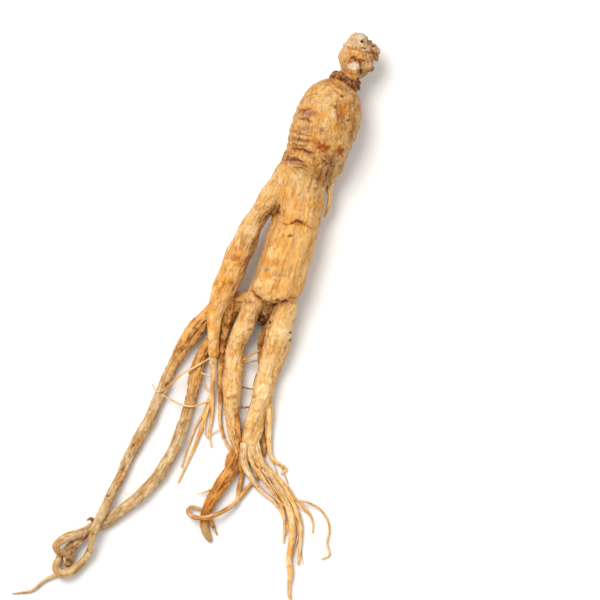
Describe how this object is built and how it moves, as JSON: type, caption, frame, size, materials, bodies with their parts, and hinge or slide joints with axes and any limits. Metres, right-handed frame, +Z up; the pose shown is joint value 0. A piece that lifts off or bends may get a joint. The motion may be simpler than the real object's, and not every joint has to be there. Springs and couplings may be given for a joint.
{
  "type": "ginseng root",
  "caption": "Whole ginseng root lying flat: ringed body with a knobbly crown on a short neck, an arm, forked legs, long entwined tails and a spray of fine rootlets.",
  "frame": {"origin": "the flat spot under the thickest part of the body, where the root rests on a level surface", "axes": "+Z up from the surface; +Y along the body from the legs to the crown; +X to the right seen from above, away from the arm"},
  "size_m": [0.1323, 0.2858, 0.0286],
  "materials": {
    "root_skin": "pale tan skin, matte with a faint waxy sheen, ringed and finely wrinkled"
  },
  "bodies": {
    "root": {"ginseng_root": "root_skin"}
  },
  "joints": []
}
